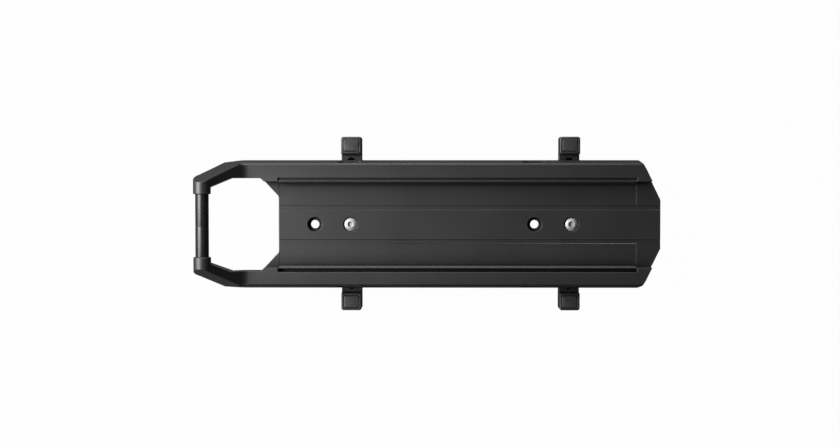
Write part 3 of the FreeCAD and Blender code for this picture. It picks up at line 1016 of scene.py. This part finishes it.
@dataclass
class ClampScrews(SubAssembly):
    """The button-head clamp screws with hexagon sockets and rolled threads."""

    sides: int = 64
    head_height: float = 3.25 * MM
    head_flat: float = 5.4 * MM
    head_rim: float = 1.7 * MM
    dome_rings: int = 9
    dome_round: float = 1.3
    socket_flats: float = 4.0 * MM
    socket_depth: float = 2.2 * MM
    socket_mouth: float = 0.18 * MM
    mouth_share: float = 0.97
    shank: float = 6.0 * MM
    pitch: float = 1.0 * MM
    thread_depth: float = 0.55 * MM
    thread_steps: int = 36
    crest_spare: float = 0.02 * MM
    flank_share: float = 0.42
    land_share: float = 0.08
    neck: float = 1.5 * MM
    tip_chamfer: float = 0.7 * MM
    smooth_deg: float = 32.0
    pieces: dict[str, Piece] = field(default_factory=dict)

    def build(self) -> None:
        """Models the first screw and copies it to the other hole."""
        self.pieces = model_and_copy(SCREWS, "turned", self._model_screw)

    def _model_screw(self, node: str) -> Piece:
        """Models one screw.

        Args:
            node: The screw's solid.

        Returns:
            The screw.
        """
        low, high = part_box(node)
        axis = Vector(((low.x + high.x) / 2, (low.y + high.y) / 2, 0.0))
        seat = high.z - self.head_height
        screw = self._model_head(f"{node}_turned", axis, seat, (high.x - low.x) / 2)
        corner, mouth = self.socket_flats / math.sqrt(3), axis + Vector((0, 0, high.z))
        cut_with(screw, new_rod("socket_tool", mouth, corner, 2 * self.socket_depth, 6))
        self._soften_mouth(screw, axis, high.z)
        cut_with(screw, self._model_shank(axis, low.z, seat), "UNION")
        smooth(screw, self.smooth_deg)
        return screw

    def _model_head(self, name: str, axis: Vector, seat: float, radius: float) -> Piece:
        """Models the domed head by raising and drawing in a disc ring by ring.

        Args:
            name: The screw's name.
            axis: A point on the screw's axis.
            seat: The height of the head's underside.
            radius: The head's radius.

        Returns:
            The head.
        """
        deselect()
        bpy.ops.mesh.primitive_circle_add(
            vertices=self.sides, radius=radius, fill_type="NGON", location=axis + Vector((0, 0, seat))
        )
        head = bpy.context.object
        head.name = name
        apply_place(head)
        work_on(head, "EDIT")
        bpy.ops.mesh.select_all(action="SELECT")
        height, width = 0.0, radius
        rise = self.head_height - self.head_rim
        for ring in range(self.dome_rings + 1):
            share = ring / self.dome_rings
            next_width = radius - (radius - self.head_flat / 2) * share
            next_height = self.head_rim + rise * (1 - (1 - share) ** self.dome_round)
            step, scale = (0.0, 0.0, next_height - height), next_width / width
            bpy.ops.mesh.extrude_region_move(TRANSFORM_OT_translate={"value": step})
            bpy.ops.transform.resize(value=(scale, scale, 1.0), center_override=axis)
            height, width = next_height, next_width
        bpy.ops.mesh.select_all(action="SELECT")
        bpy.ops.mesh.normals_make_consistent(inside=False)
        bpy.ops.object.mode_set(mode="OBJECT")
        return head

    def _soften_mouth(self, screw: Piece, axis: Vector, top: float) -> None:
        """Bevels the edges round the socket's mouth.

        Args:
            screw: The screw.
            axis: A point on the screw's axis.
            top: The height of the head's top.
        """
        reach = self.head_flat / 2 * self.mouth_share

        def at_mouth(vert: bmesh.types.BMVert) -> bool:
            """True for a corner of the hexagon at the top."""
            return abs(vert.co.z - top) < MERGE and (vert.co.xy - axis.xy).length < reach

        work_on(screw, "EDIT")
        pick(screw, Pick.EDGES, lambda edge: all(at_mouth(vert) for vert in edge.verts))
        bpy.ops.mesh.bevel(offset=self.socket_mouth, segments=2, affect="EDGES")
        bpy.ops.object.mode_set(mode="OBJECT")

    def _model_shank(self, axis: Vector, tip: float, seat: float) -> Piece:
        """Models the threaded shank with a chamfered tip.

        Args:
            axis: A point on the screw's axis.
            tip: The height of the shank's end.
            seat: The height of the head's underside.

        Returns:
            The shank, which reaches a little way into the head.
        """
        radius = self.shank / 2
        top = seat + self.head_rim
        thread = self._wind_thread(axis, tip - self.pitch, top + self.pitch)
        centre = axis + Vector((0, 0, (tip + top) / 2))
        shank = new_rod("shank_blank", centre, radius, top - tip, self.sides)
        work_on(shank, "EDIT")
        pick(shank, Pick.FACES, lambda face: face.normal.z < -FACING)
        bpy.ops.mesh.bevel(offset=self.tip_chamfer, segments=1, affect="EDGES")
        bpy.ops.object.mode_set(mode="OBJECT")
        cut_with(shank, thread, "INTERSECT")
        neck_centre = axis + Vector((0, 0, top - self.neck / 2))
        neck = new_rod("neck_blank", neck_centre, radius - self.thread_depth / 2, self.neck, self.sides)
        cut_with(shank, neck, "UNION")
        return shank

    def _wind_thread(self, axis: Vector, low: float, high: float) -> Piece:
        """Winds one thread tooth into a long threaded rod with closed ends.

        Args:
            axis: A point on the screw's axis.
            low: The lowest height that the rod has to reach.
            high: The highest height that the rod has to reach.

        Returns:
            The rod.
        """
        crest = self.shank / 2 + self.crest_spare
        root = crest - self.thread_depth
        deselect()
        bpy.ops.mesh.primitive_plane_add(size=self.pitch)
        rod = bpy.context.object
        rod.name = "thread_tool"
        work_on(rod, "EDIT")
        corner = min(bmesh.from_edit_mesh(rod.data).verts, key=lambda vert: vert.co.x + vert.co.y)
        index, start = corner.index, corner.co.copy()
        pick(rod, Pick.VERTS, lambda vert: vert.index != index)
        bpy.ops.mesh.delete(type="VERT")
        bpy.ops.mesh.select_all(action="SELECT")
        bpy.ops.transform.translate(value=Vector((root, 0.0, 0.0)) - start)
        flank, land = self.flank_share * self.pitch, self.land_share * self.pitch
        for out, up in ((crest - root, flank), (0.0, land), (root - crest, flank), (0.0, land)):
            bpy.ops.mesh.extrude_vertices_move(TRANSFORM_OT_translate={"value": (out, 0.0, up)})
        turns = math.ceil((high - low) / self.pitch) + 2
        apply_modifier(
            rod,
            "SCREW",
            axis="Z",
            screw_offset=self.pitch,
            iterations=turns,
            steps=self.thread_steps,
            render_steps=self.thread_steps,
            use_merge_vertices=True,
            merge_threshold=MERGE,
        )
        rod.location = axis + Vector((0, 0, low - self.pitch))
        apply_place(rod)
        work_on(rod, "EDIT")
        bpy.ops.mesh.select_all(action="SELECT")
        bpy.ops.mesh.remove_doubles(threshold=MERGE)
        for height, side in ((low, -1.0), (high, 1.0)):
            bpy.ops.mesh.select_all(action="SELECT")
            cut = axis + Vector((0, 0, height))
            bpy.ops.mesh.bisect(plane_co=cut, plane_no=(0, 0, side), use_fill=True, clear_outer=True)
        bpy.ops.mesh.select_all(action="SELECT")
        bpy.ops.mesh.normals_make_consistent(inside=False)
        bpy.ops.object.mode_set(mode="OBJECT")
        return rod

    def dress(self) -> None:
        """Gives each screw bright steel turned about its own axis."""
        for node, piece in self.pieces.items():
            settle(piece, node, SCREW_STEEL.material(centre_of(node)))


@dataclass
class ClampNuts(SubAssembly):
    """The thin square nuts under the lower jaws."""

    corner: float = 0.5 * MM
    edge: float = 0.3 * MM
    bore: float = 6.1 * MM
    countersink: float = 7.0 * MM
    sides: int = 48
    smooth_deg: float = 35.0
    pieces: dict[str, Piece] = field(default_factory=dict)

    def build(self) -> None:
        """Models the first nut and copies it to the other clamp."""
        self.pieces = model_and_copy(NUTS, "plated", self._model_nut)

    def _model_nut(self, node: str) -> Piece:
        """Models a square nut with broken edges and a countersunk bore.

        Args:
            node: The nut's solid.

        Returns:
            The nut.
        """
        low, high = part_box(node)
        centre = (low + high) / 2
        nut = new_block(f"{node}_plated", low, high)
        work_on(nut, "EDIT")
        pick(nut, Pick.EDGES, is_upright)
        bpy.ops.mesh.bevel(offset=self.corner, segments=3, affect="EDGES")
        pick(nut, Pick.FACES, lambda face: abs(face.normal.z) > FACING)
        bpy.ops.mesh.bevel(offset=self.edge, segments=2, affect="EDGES")
        bpy.ops.object.mode_set(mode="OBJECT")
        height = high.z - low.z
        cut_with(nut, new_rod("bore_tool", centre, self.bore / 2, 2 * height, self.sides))
        for level, tip_down in ((high.z, True), (low.z, False)):
            cut_with(nut, self._countersink_tool(Vector((centre.x, centre.y, level)), tip_down))
        smooth(nut, self.smooth_deg)
        return nut

    def _countersink_tool(self, centre: Vector, tip_down: bool) -> Piece:
        """A cone that breaks the bore's edge; its half height lies on the nut's face.

        Args:
            centre: The middle of the bore on the nut's face.
            tip_down: True for the upper face.

        Returns:
            The tool.
        """
        deselect()
        radius = self.countersink
        turn = (math.pi, 0.0, 0.0) if tip_down else (0.0, 0.0, 0.0)
        bpy.ops.mesh.primitive_cone_add(
            vertices=self.sides, radius1=radius, depth=radius, location=centre, rotation=turn
        )
        tool = bpy.context.object
        tool.name = "countersink_tool"
        apply_place(tool)
        return tool

    def dress(self) -> None:
        """Gives the nuts their plating."""
        plating = NUT_STEEL.material(Vector())
        for node, piece in self.pieces.items():
            settle(piece, node, plating)


@dataclass
class GripStrips(SubAssembly):
    """The rubber grip strips in their seats under the deck."""

    edge: float = 0.35 * MM
    hole: float = 8.0 * MM
    sides: int = 48
    smooth_deg: float = 40.0
    pieces: dict[str, Piece] = field(default_factory=dict)

    def build(self) -> None:
        """Models the first strip and copies it to the other holes."""
        self.pieces = model_and_copy(STRIPS, "rubber", self._model_strip)

    def _model_strip(self, node: str) -> Piece:
        """Models a strip with rolled edges and a hole for the screw.

        Args:
            node: The strip's solid.

        Returns:
            The strip.
        """
        low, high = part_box(node)
        strip = new_block(f"{node}_rubber", low, high)
        length = 2 * (high.z - low.z)
        cut_with(strip, new_rod("hole_tool", (low + high) / 2, self.hole / 2, length, self.sides))
        apply_modifier(strip, "BEVEL", width=self.edge, segments=3, limit_method="ANGLE")
        smooth(strip, self.smooth_deg)
        return strip

    def dress(self) -> None:
        """Gives the strips their rubber."""
        rubber = STRIP_RUBBER.material(Vector())
        for node, piece in self.pieces.items():
            settle(piece, node, rubber)


@dataclass(frozen=True)
class SoftBox:
    """A square studio light that looks at a point."""

    name: str
    place: tuple[float, float, float]
    aim: tuple[float, float, float]
    width: float
    height: float
    power: float

    def hang(self) -> None:
        """Adds the light to the scene."""
        lamp = bpy.data.lights.new(self.name, "AREA")
        lamp.shape = "RECTANGLE"
        lamp.size, lamp.size_y = self.width, self.height
        lamp.energy = self.power
        stand = bpy.data.objects.new(self.name, lamp)
        place, aim = Vector(self.place), Vector(self.aim)
        turn = (aim - place).to_track_quat("-Z", "Y").to_matrix().to_4x4()
        stand.matrix_world = Matrix.Translation(place) @ turn
        bpy.context.scene.collection.objects.link(stand)


@dataclass
class Studio:
    """The pale floor, the soft lights and the camera above the deck."""

    floor_size: float = 30.0
    floor_drop: float = 0.2 * MM
    floor_glow: float = 0.985
    floor_gloss: float = 0.03
    floor_colour: float = 0.1
    room_grey: float = 0.01
    room_gloss: float = 0.08
    eye: tuple[float, float, float] = (5 * MM, 50 * MM, 1341.5 * MM)
    aim: tuple[float, float, float] = (-7.16 * MM, 0.57 * MM, 41.5 * MM)
    lens: float = 70.65
    sensor: float = 36.0
    lights: tuple[SoftBox, ...] = (
        SoftBox("key_box", (-0.66, 0.10, 0.58), (-0.10, 0.0, 0.04), 0.5, 0.4, 19.0),
        SoftBox("back_box", (-0.20, 0.85, 0.34), (-0.04, 0.0, 0.04), 0.9, 0.4, 9.5),
    )

    def set_up(self) -> None:
        """Lays the floor, hangs the lights and places the camera."""
        self._lay_floor()
        for light in self.lights:
            light.hang()
        self._light_room()
        self._place_camera()
        bpy.context.scene.view_settings.view_transform = "Standard"

    def _lay_floor(self) -> None:
        """Adds a white floor that glows for the camera, takes the shadow and is clear from below."""
        deselect()
        bpy.ops.mesh.primitive_plane_add(size=self.floor_size, location=(0.0, 0.0, -self.floor_drop))
        floor = bpy.context.object
        floor.name = "studio_floor"
        material, board = new_material("studio_floor", Vector())
        camera, glossy = (
            board.add("ShaderNodeLightPath", output=name) for name in ("Is Camera Ray", "Is Glossy Ray")
        )
        seen = self.floor_glow * camera + self.floor_gloss * glossy
        matt = board.add("ShaderNodeBsdfDiffuse", sockets={"Color": grey(self.floor_colour)})
        glow = board.add("ShaderNodeEmission", sockets={"Color": grey(1.0), "Strength": 1.0})
        blend = board.add("ShaderNodeMixShader", sockets={0: seen.at_most(1.0), 1: matt, 2: glow})
        below = board.add("ShaderNodeNewGeometry", output="Backfacing")
        clear = board.add("ShaderNodeBsdfTransparent")
        sheet = board.add("ShaderNodeMixShader", sockets={0: below, 1: blend, 2: clear})
        board.add("ShaderNodeOutputMaterial", sockets={"Surface": sheet})
        floor.data.materials.append(material)

    def _light_room(self) -> None:
        """Fills the room with a faint even light that is white to the camera and brighter in steel."""
        world = bpy.data.worlds.new("studio_room")
        world.use_nodes = True
        bpy.context.scene.world = world
        board = NodeBoard(world.node_tree, Vector())
        camera, mirrored = (
            board.add("ShaderNodeLightPath", output=name) for name in ("Is Camera Ray", "Is Glossy Ray")
        )
        faint, bright, white = (
            board.add("ShaderNodeBackground", sockets={"Color": grey(1.0), "Strength": strength})
            for strength in (self.room_grey, self.room_gloss, 1.0)
        )
        light = board.add("ShaderNodeMixShader", sockets={0: mirrored, 1: faint, 2: bright})
        light = board.add("ShaderNodeMixShader", sockets={0: camera, 1: light, 2: white})
        board.add("ShaderNodeOutputWorld", sockets={"Surface": light})

    def _place_camera(self) -> None:
        """Places the camera over the deck with +Y at the top of the picture."""
        lens = bpy.data.cameras.new("studio_camera")
        lens.lens = self.lens
        lens.sensor_width = self.sensor
        camera = bpy.data.objects.new("studio_camera", lens)
        eye, aim = Vector(self.eye), Vector(self.aim)
        ahead = (aim - eye).normalized()
        right = ahead.cross(Vector((0, 1, 0))).normalized()
        up = right.cross(ahead)
        turn = Matrix((right, up, -ahead)).transposed().to_4x4()
        camera.matrix_world = Matrix.Translation(eye) @ turn
        bpy.context.scene.collection.objects.link(camera)
        bpy.context.scene.camera = camera


def main() -> None:
    """Builds and dresses every sub-assembly and sets up the studio."""
    logging.basicConfig(level=logging.INFO, format="%(name)s: %(message)s")
    deselect()
    assemblies = [TrackDeck(), FrontBar(), HookJaws(), ClampScrews(), ClampNuts(), GripStrips()]
    for assembly in assemblies:
        assembly.build()
        assembly.dress()
        LOG.info("%s done", type(assembly).__name__)
    Studio().set_up()


if __name__ == "__main__":
    main()
